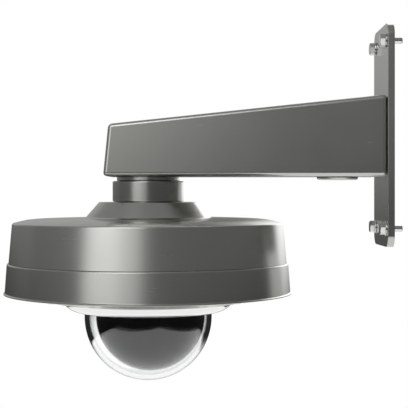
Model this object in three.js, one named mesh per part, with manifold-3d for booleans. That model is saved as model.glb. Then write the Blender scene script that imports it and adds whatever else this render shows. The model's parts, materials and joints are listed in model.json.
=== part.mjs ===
// Outdoor pan-tilt-zoom dome camera of stainless steel, hanging from a wall arm.
// Millimetres, +Z up. The wall is the plane X = 0 and lies on its +X side; the origin is the middle
// of the wall plate's back face, and the arm reaches out along -X.
import * as THREE from "three";
import { mergeVertices } from "three/addons/utils/BufferGeometryUtils.js";
import Module from "manifold-3d";

const wasm = await Module();
wasm.setup();

// ---------------------------------------------------------------- driving dimensions
const GAP = 0.3; // clearance between pieces that touch

// wall plate and its bolts
const PLATE_WIDTH = 80;
const PLATE_HEIGHT = 195.2;
const PLATE_DROP = 0.6; // middle of the plate below the middle of its bolts
const PLATE_THICK = 6;
const PLATE_CORNER = 11;
const PLATE_CABLE_HOLE = 20;
const BOLT_Y = 30;
const BOLT_Z = 82;
const BOLT_RADIUS = 3;
const BOLT_HEAD_RADIUS = 5.77; // corners of a 10 mm hexagon
const BOLT_HEAD = 4;
const BOLT_REACH = 8; // shank that goes into the wall
const WASHER_RADIUS = 6.2;
const WASHER_THICK = 1.1;

// tapered box-section arm
const ARM_WIDTH = 76;
const ARM_BOTTOM = -36.4;
const ARM_TOP = 34.8;
const ARM_TIP_TOP = 9.1;
const ARM_TIP_X = -248.2;
const ARM_TOE_X = -252.7;
const ARM_EDGE = 3.5;
const ARM_WALL = 3;

// conduit entry under the arm
const CONDUIT_X = -45;
const CONDUIT_RADIUS = 18.5;
const CONDUIT_BOTTOM = -39.2;

// pendant joint
const PENDANT_X = -215;
const NIPPLE_RADIUS = 24;
const NIPPLE_BORE = 19;
const NIPPLE_TOP = -26;
const NIPPLE_BOTTOM = -74;
const BOSS_RADIUS = 28.2;
const BOSS_BOTTOM = -40;
const COLLAR_RADIUS = 32;
const COLLAR_BOTTOM = -58.8;

// housing
const CONE_TOP_RADIUS = 44;
const CONE_FOOT_RADIUS = 56.4;
const CROWN_RADIUS = 100; // inside this the top is almost flat
const SHOULDER_Z = -73.6; // highest part of the crowned top
const CROWN_Z = -74.3; // height of the top at CROWN_RADIUS
const RIM_Z = -78.2;
const DRUM_TOP_RADIUS = 121.1;
const DRUM_RADIUS = 124;
const DRUM_SPLIT_Z = -113.2;
const SHELL_WALL = 3;
const COVER_TOP_RADIUS = 125.4;
const COVER_RADIUS = 127.2;
const LIP_RADIUS = 128.4;
const LIP_Z = -140.4;
const FLOOR_Z = -147.3;
const FLOOR_FLAT_RADIUS = 86;
const FLOOR_BORE = 72.3;
const COVER_SCREW_RING = 108;

// dome
const DOME_Z = -161.4; // centre of the dome and height of the tilt axis
const DOME_RADIUS = 57;
const DOME_WALL = 4.2;
const DOME_FLANGE_RADIUS = 69;
const RING_BOTTOM = -157.2;
const RING_RADIUS = 75.2;

// pan drive, inside the housing
const CHASSIS_Z = -97;
const CHASSIS_THICK = 3;
const CHASSIS_RADIUS = 101;
const TURNTABLE_Z = -109;
const TURNTABLE_THICK = 3;
const TURNTABLE_RADIUS = 66;
const PAN_PULLEY_RADIUS = 61;
const PAN_MOTOR_PULLEY_RADIUS = 8;
const PAN_MOTOR_X = 84;
const PAN_PULLEY_BOTTOM = -108.7;
const PAN_PULLEY_TOP = -102;
const SLIP_RING_RADIUS = 11.5;
const SLIP_ROTOR_RADIUS = 7.5;

// tilt drive, inside the ball
const REST_TILT = THREE.MathUtils.degToRad(35); // lens below the horizon at rest
const SHROUD_RADIUS = 48.6;
const SHROUD_SHIFT = 2; // how far the ball hangs off the pan axis
const SHROUD_WALL = 2;
const SLOT_HALF_WIDTH = 14.5;
const SLOT_TOP = 14.5;
const SLOT_NEAR_END = -12;
const YOKE_INNER = 38.5;
const YOKE_THICK = 3.5;
const TRUNNION_RADIUS = 3;
const TILT_PULLEY_RADIUS = 14;
const TILT_MOTOR_PULLEY_RADIUS = 5;
const TILT_MOTOR_Z = -125.5;
const TILT_PULLEY_IN = 32.2;
const TILT_PULLEY_OUT = 36.7;
const BELT_THICK = 1.1;
const FLANGE = 1.6; // how far a pulley's rims stand above its belt seat

// camera module, along its own optical axis
const MODULE_HALF_WIDTH = 26;
const MODULE_HALF_HEIGHT = 20;
const MODULE_FRONT = 22;
const MODULE_BACK = -28;
const BARREL_RADIUS = 12.4;
const BARREL_BORE = 10.9;
const BARREL_END = 44;
const CAM_RADIUS = 10.6;
const CELL_RADIUS = 9;

// facets round a full turn
const LARGE = 32;
const MEDIUM = 20;
const SMALL = 12;

// ---------------------------------------------------------------- finishes
const finish = (color, roughness, metalness) => ({ color, roughness, metalness });
const STEEL = finish(0x8b8b85, 0.3, 1);
const BOLT_STEEL = finish(0xa5a5a0, 0.25, 1);
const POLISHED = finish(0xd8d8d4, 0.08, 1);
const CLEAR = finish(0xf4f6f6, 0.03, 0);
const BLACK = finish(0x151515, 0.25, 0);
const SEAL = finish(0x202020, 0.8, 0);
const ALLOY = finish(0xb4b6b8, 0.4, 1);
const BOARD = finish(0x1f5a36, 0.5, 0);
const MODULE_BLACK = finish(0x242629, 0.45, 0.2);
const COATED_GLASS = finish(0x26344a, 0.05, 0);
const BRASS = finish(0xb08d4a, 0.35, 1);

// ---------------------------------------------------------------- shape helpers
// A closed three.js geometry as a solid that can be cut and joined.
function solid(geometry) {
  const bare = geometry.index ? geometry.toNonIndexed() : geometry.clone();
  bare.deleteAttribute("normal");
  bare.deleteAttribute("uv");
  const merged = mergeVertices(bare, 1e-3);
  return new wasm.Manifold(
    new wasm.Mesh({
      numProp: 3,
      vertProperties: merged.attributes.position.array,
      triVerts: new Uint32Array(merged.index.array),
    }),
  );
}

// A cut or joined solid as a three.js geometry.
function geometryOf(shape) {
  const mesh = shape.getMesh();
  const geometry = new THREE.BufferGeometry();
  geometry.setAttribute("position", new THREE.BufferAttribute(mesh.vertProperties, 3));
  geometry.setIndex(new THREE.BufferAttribute(mesh.triVerts, 1));
  geometry.computeVertexNormals();
  return geometry;
}

// Solid of revolution about Z from an outline of [radius, z] points, in either direction.
function turned(outline, facets = MEDIUM) {
  let area = 0;
  outline.forEach(([r, z], i) => {
    const [nextR, nextZ] = outline[(i + 1) % outline.length];
    area += r * nextZ - nextR * z;
  });
  const points = outline.map(([r, z]) => new THREE.Vector2(r, z));
  if (area < 0) points.reverse();
  if (points[0].x > 0 || points[points.length - 1].x > 0) points.push(points[0].clone());
  return solid(new THREE.LatheGeometry(points, facets).rotateX(Math.PI / 2));
}

const disc = (radius, low, high, facets = MEDIUM) =>
  turned([[0, low], [radius, low], [radius, high], [0, high]], facets);

const ring = (inner, outer, low, high, facets = MEDIUM) =>
  turned([[inner, low], [outer, low], [outer, high], [inner, high]], facets);

const block = (x0, x1, y0, y1, z0, z1) =>
  solid(
    new THREE.BoxGeometry(x1 - x0, y1 - y0, z1 - z0).translate(
      (x0 + x1) / 2,
      (y0 + y1) / 2,
      (z0 + z1) / 2,
    ),
  );

// Turns a solid's Z axis to X, or to Y, and moves a solid.
const turnedBy = (shape, matrix) => solid(geometryOf(shape).applyMatrix4(matrix));
const alongX = (shape) => turnedBy(shape, new THREE.Matrix4().makeRotationY(Math.PI / 2));
const alongY = (shape) => turnedBy(shape, new THREE.Matrix4().makeRotationX(-Math.PI / 2));
const moved = (shape, x, y, z) => turnedBy(shape, new THREE.Matrix4().makeTranslation(x, y, z));

// Points of a circular arc, from one angle to another in degrees.
function arc(centreR, centreZ, radius, fromDegrees, toDegrees, steps) {
  return Array.from({ length: steps + 1 }, (_, i) => {
    const angle = THREE.MathUtils.degToRad(fromDegrees + ((toDegrees - fromDegrees) * i) / steps);
    return [centreR + radius * Math.cos(angle), centreZ + radius * Math.sin(angle)];
  });
}

// Rectangle with round corners as a Shape, centred on the origin.
function roundedRectangle(width, height, radius) {
  const x = width / 2 - radius;
  const y = height / 2 - radius;
  const shape = new THREE.Shape();
  shape.absarc(x, y, radius, 0, Math.PI / 2);
  shape.absarc(-x, y, radius, Math.PI / 2, Math.PI);
  shape.absarc(-x, -y, radius, Math.PI, Math.PI * 1.5);
  shape.absarc(x, -y, radius, Math.PI * 1.5, Math.PI * 2);
  return shape;
}

const extruded = (shape, depth, curveSegments = 4) =>
  new THREE.ExtrudeGeometry(shape, { depth, bevelEnabled: false, curveSegments, steps: 1 });

// Places that repeat round an axis.
function aroundAxis(count, radius, startDegrees) {
  return Array.from({ length: count }, (_, i) => {
    const angle = THREE.MathUtils.degToRad(startDegrees + (360 * i) / count);
    return [radius * Math.cos(angle), radius * Math.sin(angle)];
  });
}

// Toothed-belt pulley about Z: a belt seat between two rims.
function pulley(seat, bore, low, high, facets) {
  const rim = seat + FLANGE;
  const flange = 0.9;
  return turned(
    [
      [bore, low],
      [rim, low],
      [rim, low + flange],
      [seat, low + flange],
      [seat, high - flange],
      [rim, high - flange],
      [rim, high],
      [bore, high],
    ],
    facets,
  );
}

// Belt round two pulleys in the XY plane, the first at the origin and the second along +X.
function belt(firstRadius, secondRadius, distance, low, high, curveSegments) {
  const lean = Math.acos((firstRadius - secondRadius) / distance);
  const trace = (path, offset) => {
    path.absarc(0, 0, firstRadius + offset, lean, Math.PI * 2 - lean);
    path.absarc(distance, 0, secondRadius + offset, -lean, lean);
  };
  const outline = new THREE.Shape();
  const inside = new THREE.Path();
  trace(outline, GAP + BELT_THICK);
  trace(inside, GAP);
  outline.holes.push(inside);
  return solid(extruded(outline, high - low, curveSegments).translate(0, 0, low));
}

// ---------------------------------------------------------------- the assembly
const camera = new THREE.Group();

function add(name, shape, look, parent = camera) {
  const mesh = new THREE.Mesh(geometryOf(shape), new THREE.MeshStandardMaterial(look));
  mesh.name = name;
  parent.add(mesh);
}

// ---------------------------------------------------------------- wall plate and bolts
const wallCorners = [
  [BOLT_Y, BOLT_Z],
  [-BOLT_Y, BOLT_Z],
  [-BOLT_Y, -BOLT_Z],
  [BOLT_Y, -BOLT_Z],
];

function wallPlate() {
  // The outline's first axis is the plate's height, measured from the plate's own middle.
  const outline = roundedRectangle(PLATE_HEIGHT, PLATE_WIDTH, PLATE_CORNER);
  const holeAt = (x, y, radius) => {
    const hole = new THREE.Path();
    hole.absarc(x, y, radius, 0, Math.PI * 2);
    return hole;
  };
  outline.holes.push(holeAt(PLATE_DROP, 0, PLATE_CABLE_HOLE));
  wallCorners.forEach(([y, z]) => {
    outline.holes.push(holeAt(z + PLATE_DROP, y, BOLT_RADIUS + GAP));
  });
  const plate = extruded(outline, PLATE_THICK, 6);
  return solid(plate.rotateY(-Math.PI / 2).translate(0, 0, -PLATE_DROP));
}

function wallBolt() {
  const headFace = -PLATE_THICK - 2 * GAP - WASHER_THICK;
  const shank = disc(BOLT_RADIUS, headFace - 1, BOLT_REACH, 12);
  const head = turned(
    [
      [0, headFace - BOLT_HEAD],
      [BOLT_HEAD_RADIUS * 0.86, headFace - BOLT_HEAD],
      [BOLT_HEAD_RADIUS, headFace - BOLT_HEAD * 0.82],
      [BOLT_HEAD_RADIUS, headFace],
      [0, headFace],
    ],
    6,
  );
  // A twelfth of a turn puts two corners of the hexagon up and down.
  const turnedHead = turnedBy(head, new THREE.Matrix4().makeRotationZ(Math.PI / 6));
  return alongX(shank.add(turnedHead));
}

function wallWasher() {
  const face = -PLATE_THICK - GAP;
  return alongX(ring(BOLT_RADIUS + GAP, WASHER_RADIUS, face - WASHER_THICK, face, SMALL));
}

add("wall_plate", wallPlate(), STEEL);
wallCorners.forEach(([y, z], i) => {
  add(`wall_bolt_${i + 1}`, moved(wallBolt(), 0, y, z), BOLT_STEEL);
  add(`wall_washer_${i + 1}`, moved(wallWasher(), 0, y, z), BOLT_STEEL);
});

// ---------------------------------------------------------------- arm
// Side outline of the arm, or of its hollow when it is moved inwards.
function armOutline(inset, wallEnd) {
  const slope = (ARM_TOP - ARM_TIP_TOP) / (-PLATE_THICK - ARM_TIP_X);
  const lean = (ARM_TIP_X - ARM_TOE_X) / (ARM_TIP_TOP - ARM_BOTTOM);
  const top = (x) => ARM_TOP + slope * (x + PLATE_THICK) - inset;
  const bottom = ARM_BOTTOM + inset;
  const tipX = ARM_TIP_X + inset;
  const toeX = ARM_TOE_X + inset + lean * inset;
  return new THREE.Shape([
    new THREE.Vector2(toeX, bottom),
    new THREE.Vector2(wallEnd, bottom),
    new THREE.Vector2(wallEnd, top(wallEnd)),
    new THREE.Vector2(tipX, top(tipX)),
  ]);
}

// Extrudes a side outline across the arm, from -width / 2 to width / 2 along Y.
function acrossArm(outline, width, edge) {
  const geometry = new THREE.ExtrudeGeometry(outline, {
    depth: width - 2 * edge,
    bevelEnabled: edge > 0,
    bevelThickness: edge,
    bevelSize: edge,
    bevelOffset: -edge,
    bevelSegments: 3,
    steps: 1,
  });
  return solid(geometry.rotateX(Math.PI / 2).translate(0, width / 2 - edge, 0));
}

function armShell() {
  const wallEnd = -PLATE_THICK - GAP;
  const outside = acrossArm(armOutline(0, wallEnd), ARM_WIDTH, ARM_EDGE);
  const hollow = acrossArm(armOutline(ARM_WALL, wallEnd + 10), ARM_WIDTH - 2 * ARM_WALL, 0);
  const nippleHole = disc(NIPPLE_RADIUS + GAP, ARM_BOTTOM - 5, ARM_BOTTOM + 10);
  const conduitHole = disc(12.5, ARM_BOTTOM - 5, ARM_BOTTOM + 10);
  return outside
    .subtract(hollow)
    .subtract(moved(nippleHole, PENDANT_X, 0, 0))
    .subtract(moved(conduitHole, CONDUIT_X, 0, 0));
}

function conduitBoss() {
  const seat = CONDUIT_BOTTOM + 1.8;
  return turned([
    [13.5, CONDUIT_BOTTOM],
    [CONDUIT_RADIUS - 2.2, CONDUIT_BOTTOM],
    [CONDUIT_RADIUS - 0.6, CONDUIT_BOTTOM + 0.6],
    [CONDUIT_RADIUS, CONDUIT_BOTTOM + 1.6],
    [CONDUIT_RADIUS, ARM_BOTTOM - GAP],
    [12.2, ARM_BOTTOM - GAP],
    [12.2, -28],
    [9, -28],
    [9, seat],
    [13.5, seat],
  ]);
}

function conduitPlug() {
  const face = CONDUIT_BOTTOM + 0.2;
  const seat = CONDUIT_BOTTOM + 1.8 - GAP;
  const body = turned(
    [
      [0, face],
      [13.2, face],
      [13.2, seat],
      [8.7, seat],
      [8.7, -27],
      [0, -27],
    ],
    SMALL,
  );
  return body.subtract(disc(5, face - 1, face + 3.5, 6));
}

add("arm_shell", armShell(), STEEL);
add("conduit_boss", moved(conduitBoss(), CONDUIT_X, 0, 0), STEEL);
add("conduit_plug", moved(conduitPlug(), CONDUIT_X, 0, 0), BOLT_STEEL);

// ---------------------------------------------------------------- pendant joint and housing
const head = new THREE.Group();
head.position.x = PENDANT_X;
camera.add(head);

function pendantNipple() {
  return turned([
    [NIPPLE_BORE, NIPPLE_BOTTOM],
    [NIPPLE_RADIUS, NIPPLE_BOTTOM],
    [NIPPLE_RADIUS, BOSS_BOTTOM],
    [BOSS_RADIUS, BOSS_BOTTOM],
    [BOSS_RADIUS, ARM_BOTTOM - GAP],
    [NIPPLE_RADIUS, ARM_BOTTOM - GAP],
    [NIPPLE_RADIUS, NIPPLE_TOP],
    [NIPPLE_BORE, NIPPLE_TOP],
  ]);
}

function lockNut(low, high) {
  const nut = disc(32, low, high, 6);
  return nut.subtract(disc(NIPPLE_RADIUS + GAP, low - 1, high + 1));
}

const SET_SCREW_Z = (BOSS_BOTTOM + COLLAR_BOTTOM) / 2;

function pendantCollar() {
  const chamfer = 1;
  const top = BOSS_BOTTOM - GAP;
  const bore = NIPPLE_RADIUS + GAP;
  const collar = turned([
    [bore, COLLAR_BOTTOM],
    [COLLAR_RADIUS - chamfer, COLLAR_BOTTOM],
    [COLLAR_RADIUS, COLLAR_BOTTOM + chamfer],
    [COLLAR_RADIUS, top - chamfer],
    [COLLAR_RADIUS - chamfer, top],
    [bore, top],
  ]);
  const screwHole = moved(alongY(disc(2 + GAP, 20, COLLAR_RADIUS + 2, 8)), 0, 0, SET_SCREW_Z);
  return collar.subtract(screwHole);
}

const setScrew = () => {
  const screw = disc(2, NIPPLE_RADIUS + 2 * GAP, COLLAR_RADIUS - 0.6, 8);
  const socket = disc(1.2, COLLAR_RADIUS - 3, COLLAR_RADIUS + 1, 6);
  return moved(alongY(screw.subtract(socket)), 0, 0, SET_SCREW_Z);
};

const screwPlaces = aroundAxis(4, COVER_SCREW_RING, 45);
const SCREW_BOSS_BOTTOM = -128;

function upperHousing() {
  const top = COLLAR_BOTTOM - GAP;
  const bore = NIPPLE_RADIUS + GAP;
  const shell = turned(
    [
      [DRUM_RADIUS, DRUM_SPLIT_Z],
      [DRUM_TOP_RADIUS, RIM_Z - 2],
      [DRUM_TOP_RADIUS - 0.9, RIM_Z],
      [112, RIM_Z + 2.7],
      [CROWN_RADIUS, CROWN_Z],
      [CONE_FOOT_RADIUS + 3, SHOULDER_Z],
      [CONE_FOOT_RADIUS, SHOULDER_Z + 0.5],
      [CONE_FOOT_RADIUS - 1.8, SHOULDER_Z + 1.9],
      [CONE_TOP_RADIUS + 0.8, top - 1.2],
      [CONE_TOP_RADIUS - 0.6, top],
      [bore, top],
      [bore, top - 4],
      [CONE_TOP_RADIUS - 3.4, top - 4],
      [CONE_FOOT_RADIUS - 4, SHOULDER_Z - SHELL_WALL],
      [CROWN_RADIUS, CROWN_Z - SHELL_WALL],
      [DRUM_TOP_RADIUS - SHELL_WALL, RIM_Z - SHELL_WALL],
      [DRUM_RADIUS - SHELL_WALL, DRUM_SPLIT_Z],
    ],
    LARGE,
  );
  return screwPlaces.reduce((body, [x, y]) => {
    const boss = disc(5, SCREW_BOSS_BOTTOM, RIM_Z + 0.2, 8);
    const hole = disc(2 + GAP, SCREW_BOSS_BOTTOM - 1, SCREW_BOSS_BOTTOM + 16, 8);
    return body.add(moved(boss, x, y, 0)).subtract(moved(hole, x, y, 0));
  }, shell);
}

const SEAT_Z = DRUM_SPLIT_Z - 2.3; // seat of the gasket between the two shells

function lowerCover() {
  const cover = turned(
    [
      [LIP_RADIUS - 0.7, LIP_Z],
      [LIP_RADIUS, LIP_Z + 0.3],
      [LIP_RADIUS, LIP_Z + 0.8],
      [COVER_RADIUS, LIP_Z + 1.7],
      [COVER_TOP_RADIUS, SEAT_Z],
      [DRUM_RADIUS + 1, SEAT_Z + 1.7],
      [DRUM_RADIUS + 0.4, SEAT_Z + 1.7],
      [DRUM_RADIUS + 0.4, SEAT_Z],
      [DRUM_RADIUS - 3.5, SEAT_Z],
      [DRUM_RADIUS - 3.5, SEAT_Z - 3],
      [COVER_TOP_RADIUS - 2.5, SEAT_Z - 5],
      [COVER_RADIUS - 3, LIP_Z + 5],
      [84, -142.1],
      [62.3, -142.1],
      [62.3, -144.3],
      [FLOOR_BORE, -144.3],
      [FLOOR_BORE, FLOOR_Z],
      [FLOOR_FLAT_RADIUS, FLOOR_Z],
      [121, LIP_Z + 0.5],
      [LIP_RADIUS - 3.3, LIP_Z + 1.1],
    ],
    LARGE,
  );
  return screwPlaces.reduce((body, [x, y]) => {
    const hole = disc(2 + GAP, FLOOR_Z - 5, LIP_Z + 10, 8);
    const recess = disc(4.8, FLOOR_Z - 5, COVER_SCREW_SEAT, 8);
    return body.subtract(moved(hole, x, y, 0)).subtract(moved(recess, x, y, 0));
  }, cover);
}

const COVER_SCREW_SEAT = -140.6;

function coverScrew() {
  const face = COVER_SCREW_SEAT - GAP;
  const body = turned(
    [
      [0, face - 2.4],
      [4, face - 2.4],
      [4, face],
      [2, face],
      [2, SCREW_BOSS_BOTTOM + 12],
      [0, SCREW_BOSS_BOTTOM + 12],
    ],
    8,
  );
  return body.subtract(disc(1.9, face - 3, face - 0.9, 6));
}

function domeRing() {
  const bore = DOME_RADIUS + 0.4;
  const top = FLOOR_Z - GAP;
  return turned(
    [
      [bore, RING_BOTTOM],
      [66.3, RING_BOTTOM + 1.3],
      [72, RING_BOTTOM + 3.6],
      [RING_RADIUS - 0.8, RING_BOTTOM + 6.4],
      [RING_RADIUS, top],
      [FLOOR_BORE - GAP, top],
      [FLOOR_BORE - GAP, top + 3],
      [DOME_FLANGE_RADIUS + GAP, top + 3],
      [DOME_FLANGE_RADIUS + GAP, -148.5],
      [bore, -148.5],
    ],
    LARGE,
  );
}

function domeBubble() {
  const inner = DOME_RADIUS - DOME_WALL;
  return turned(
    [
      ...arc(0, DOME_Z, DOME_RADIUS, -90, 0, 6),
      [DOME_RADIUS, -148.2],
      [DOME_FLANGE_RADIUS, -148.2],
      [DOME_FLANGE_RADIUS, -146.2],
      [inner, -146.2],
      ...arc(0, DOME_Z, inner, 0, -90, 6),
    ],
    LARGE,
  );
}

add("pendant_nipple", pendantNipple(), STEEL, head);
add("arm_lock_nut", lockNut(ARM_BOTTOM + ARM_WALL + GAP, ARM_BOTTOM + ARM_WALL + 6), BOLT_STEEL, head);
add("pendant_collar", pendantCollar(), STEEL, head);
add("collar_set_screw", setScrew(), BOLT_STEEL, head);
add("housing_lock_nut", lockNut(COLLAR_BOTTOM - 10.6, COLLAR_BOTTOM - 4.6), BOLT_STEEL, head);
add("upper_housing", upperHousing(), STEEL, head);
const gasketSpan = [DRUM_RADIUS - 3.4, DRUM_RADIUS, SEAT_Z + GAP, DRUM_SPLIT_Z - GAP];
add("housing_gasket", ring(...gasketSpan, LARGE), SEAL, head);
add("lower_cover", lowerCover(), STEEL, head);
screwPlaces.forEach(([x, y], i) => {
  add(`cover_screw_${i + 1}`, moved(coverScrew(), x, y, 0), BOLT_STEEL, head);
});
add("dome_gasket", ring(62.6, DOME_FLANGE_RADIUS, -145.9, -144.6, LARGE), SEAL, head);
add("dome_ring", domeRing(), POLISHED, head);
add("dome_bubble", domeBubble(), CLEAR, head);

// ---------------------------------------------------------------- fixed works in the housing
const CHASSIS_BOTTOM = CHASSIS_Z - CHASSIS_THICK;
const BEARING_TOP = CHASSIS_BOTTOM - 1;
const BEARING_BOTTOM = TURNTABLE_Z + 1;

function chassisPlate() {
  const plate = turned(
    [
      [12, CHASSIS_BOTTOM],
      [38.3, CHASSIS_BOTTOM],
      [38.3, BEARING_BOTTOM],
      [42, BEARING_BOTTOM],
      [42, CHASSIS_BOTTOM],
      [CHASSIS_RADIUS, CHASSIS_BOTTOM],
      [CHASSIS_RADIUS, CHASSIS_Z],
      [12, CHASSIS_Z],
    ],
    MEDIUM,
  );
  const posts = aroundAxis(4, 94, 45).map(([x, y]) =>
    moved(disc(4, CHASSIS_Z - 1, CROWN_Z - SHELL_WALL - GAP, 8), x, y, 0),
  );
  const pegs = aroundAxis(4, 70, 135).slice(0, 2).map(([x, y]) =>
    moved(disc(3, CHASSIS_Z - 1, BOARD_BOTTOM - GAP, 8), x, y, 0),
  );
  const shaftHole = moved(disc(4, CHASSIS_BOTTOM - 1, CHASSIS_Z + 1, 12), PAN_MOTOR_X, 0, 0);
  return [...posts, ...pegs].reduce((body, post) => body.add(post), plate).subtract(shaftHole);
}

const BOARD_BOTTOM = -95.5;
const BOARD_TOP = -94;

// Circuit board that fills the side of the chassis away from the pan motor.
function mainBoard() {
  const from = THREE.MathUtils.degToRad(110);
  const to = THREE.MathUtils.degToRad(250);
  const outline = new THREE.Shape();
  outline.absarc(0, 0, 86, from, to);
  outline.absarc(0, 0, 26, to, from, true);
  return solid(extruded(outline, BOARD_TOP - BOARD_BOTTOM, 10).translate(0, 0, BOARD_BOTTOM));
}

// Finned heat sink, its fins side by side along Y.
function heatSink() {
  const width = 30;
  const fins = 6;
  const pitch = width / fins;
  const low = BOARD_TOP + GAP;
  const base = block(-70, -40, -width / 2, width / 2, low, low + 2.5);
  return Array.from({ length: fins }, (_, i) => -width / 2 + i * pitch).reduce(
    (body, y) => body.add(block(-70, -40, y, y + pitch / 2.5, low + 2, low + 10)),
    base,
  );
}

function networkJack() {
  const low = BOARD_TOP + GAP;
  const shell = block(-60, -39, 40, 56, low, low + 12.5);
  return shell.subtract(block(-50, -38, 42, 54, low + 1.5, low + 10));
}

function powerTerminal() {
  const low = BOARD_TOP + GAP;
  const body = block(-62, -40, -58, -44, low, low + 9);
  return [-56.5, -51, -45.5].reduce(
    (cut, x) => cut.subtract(moved(disc(1.8, low + 4, low + 10, 8), x, -51, 0)),
    body,
  );
}

// Body of the slip ring, its flange on the chassis.
function slipRingStator() {
  return turned(
    [
      [SLIP_ROTOR_RADIUS / 2, -99.5],
      [SLIP_RING_RADIUS, -99.5],
      [SLIP_RING_RADIUS, CHASSIS_Z + GAP],
      [20, CHASSIS_Z + GAP],
      [20, CHASSIS_Z + 2],
      [SLIP_RING_RADIUS, CHASSIS_Z + 2],
      [SLIP_RING_RADIUS, -84],
      [SLIP_ROTOR_RADIUS / 2, -84],
    ],
    SMALL,
  );
}

function panMotor() {
  const low = CHASSIS_Z + GAP;
  const can = extruded(roundedRectangle(35, 35, 5), 15, 2).translate(PAN_MOTOR_X, 0, low);
  return solid(can).subtract(moved(disc(2.3, low - 1, low + 6, 8), PAN_MOTOR_X, 0, 0));
}

add("chassis_plate", chassisPlate(), ALLOY, head);
add("main_board", mainBoard(), BOARD, head);
add("heat_sink", heatSink(), ALLOY, head);
add("network_jack", networkJack(), ALLOY, head);
add("power_terminal", powerTerminal(), BLACK, head);
add("slip_ring_stator", slipRingStator(), BLACK, head);
add("pan_bearing_outer", ring(33.6, 38, BEARING_BOTTOM, BEARING_TOP), ALLOY, head);
add("pan_motor", panMotor(), BLACK, head);
const panBeltSpan = [PAN_PULLEY_BOTTOM + 1.4, PAN_PULLEY_TOP - 1.4];
add(
  "pan_belt",
  belt(PAN_PULLEY_RADIUS, PAN_MOTOR_PULLEY_RADIUS, PAN_MOTOR_X, ...panBeltSpan, 12),
  SEAL,
  head,
);

function panMotorPulley() {
  const wheel = pulley(PAN_MOTOR_PULLEY_RADIUS, 0, PAN_PULLEY_BOTTOM, PAN_PULLEY_TOP, SMALL);
  return moved(wheel.add(disc(2, PAN_PULLEY_TOP - 1, CHASSIS_Z + 5, 8)), PAN_MOTOR_X, 0, 0);
}

add("pan_motor_pulley", panMotorPulley(), ALLOY, head);

// ---------------------------------------------------------------- what turns in pan
const TURNTABLE_BOTTOM = TURNTABLE_Z - TURNTABLE_THICK;
const SHROUD_RIM_TOP = -137.3;
const shroudPosts = aroundAxis(4, 55, 45);

function turntable() {
  const hubTop = CHASSIS_BOTTOM - 0.8;
  const bore = SLIP_ROTOR_RADIUS + GAP;
  const plate = turned([
    [bore, TURNTABLE_BOTTOM],
    [TURNTABLE_RADIUS, TURNTABLE_BOTTOM],
    [TURNTABLE_RADIUS, TURNTABLE_Z],
    [25.7, TURNTABLE_Z],
    [25.7, hubTop],
    [bore, hubTop],
  ]);
  return shroudPosts.reduce(
    (body, [x, y]) =>
      body.add(moved(disc(3, SHROUD_RIM_TOP + GAP, TURNTABLE_BOTTOM + 1, 8), x, y, 0)),
    plate,
  );
}

// U-shaped bracket that holds the camera module between its two arms.
function yoke() {
  const outer = YOKE_INNER + YOKE_THICK;
  const top = TURNTABLE_BOTTOM - GAP;
  const bridge = block(-outer, outer, -14, 14, top - YOKE_THICK, top);
  const hanger = new THREE.Shape();
  hanger.moveTo(14, top - 1);
  hanger.lineTo(-14, top - 1);
  hanger.lineTo(-10, DOME_Z);
  hanger.absarc(0, DOME_Z, 10, Math.PI, Math.PI * 2);
  const stand = new THREE.Matrix4().makeBasis(
    new THREE.Vector3(0, 1, 0),
    new THREE.Vector3(0, 0, 1),
    new THREE.Vector3(1, 0, 0),
  );
  const arm = solid(extruded(hanger, YOKE_THICK, 8).applyMatrix4(stand));
  const trunnionHole = moved(alongX(disc(5.8, -outer - 1, outer + 1, SMALL)), 0, 0, DOME_Z);
  const shaftHole = moved(alongX(disc(2.2, 0, outer + 1, 8)), 0, 0, TILT_MOTOR_Z);
  return bridge
    .add(moved(arm, YOKE_INNER, 0, 0))
    .add(moved(arm, -outer, 0, 0))
    .subtract(disc(8.5, top - YOKE_THICK - 1, top + 1, SMALL))
    .subtract(trunnionHole)
    .subtract(shaftHole);
}

// Black ball round the camera module, with a slot that the lens looks through.
function shroud() {
  const inner = SHROUD_RADIUS - SHROUD_WALL;
  const rim = 58;
  const rimBottom = SHROUD_RIM_TOP - 2.2;
  const ball = turned(
    [
      ...arc(0, DOME_Z, SHROUD_RADIUS, -90, 0, 6),
      [SHROUD_RADIUS, rimBottom],
      [rim, rimBottom],
      [rim, SHROUD_RIM_TOP],
      [inner, SHROUD_RIM_TOP],
      ...arc(0, DOME_Z, inner, 0, -90, 6),
    ],
    LARGE,
  );
  const far = SHROUD_RADIUS + 5;
  const slot = block(-SLOT_HALF_WIDTH, SLOT_HALF_WIDTH, SLOT_NEAR_END, far, DOME_Z - far, DOME_Z);
  const slotTop = moved(alongY(disc(SLOT_TOP, 0, far, MEDIUM)), 0, 0, DOME_Z);
  return moved(ball, SHROUD_SHIFT, 0, 0).subtract(slot).subtract(slotTop);
}

function tiltMotor() {
  const start = YOKE_INNER + YOKE_THICK + GAP;
  const can = disc(10.5, start, start + 17, SMALL).subtract(disc(1.9, start - 1, start + 5, 8));
  return moved(alongX(can), 0, 0, TILT_MOTOR_Z);
}

// The belt is drawn in the XY plane, then stood on edge with its small end up.
function tiltBelt() {
  const span = [TILT_PULLEY_IN + 1.2, TILT_PULLEY_OUT - 1.2];
  const flat = belt(TILT_PULLEY_RADIUS, TILT_MOTOR_PULLEY_RADIUS, TILT_MOTOR_Z - DOME_Z, ...span, 10);
  const stand = new THREE.Matrix4().makeBasis(
    new THREE.Vector3(0, 0, 1),
    new THREE.Vector3(0, -1, 0),
    new THREE.Vector3(1, 0, 0),
  );
  return moved(turnedBy(flat, stand), 0, 0, DOME_Z);
}

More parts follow.
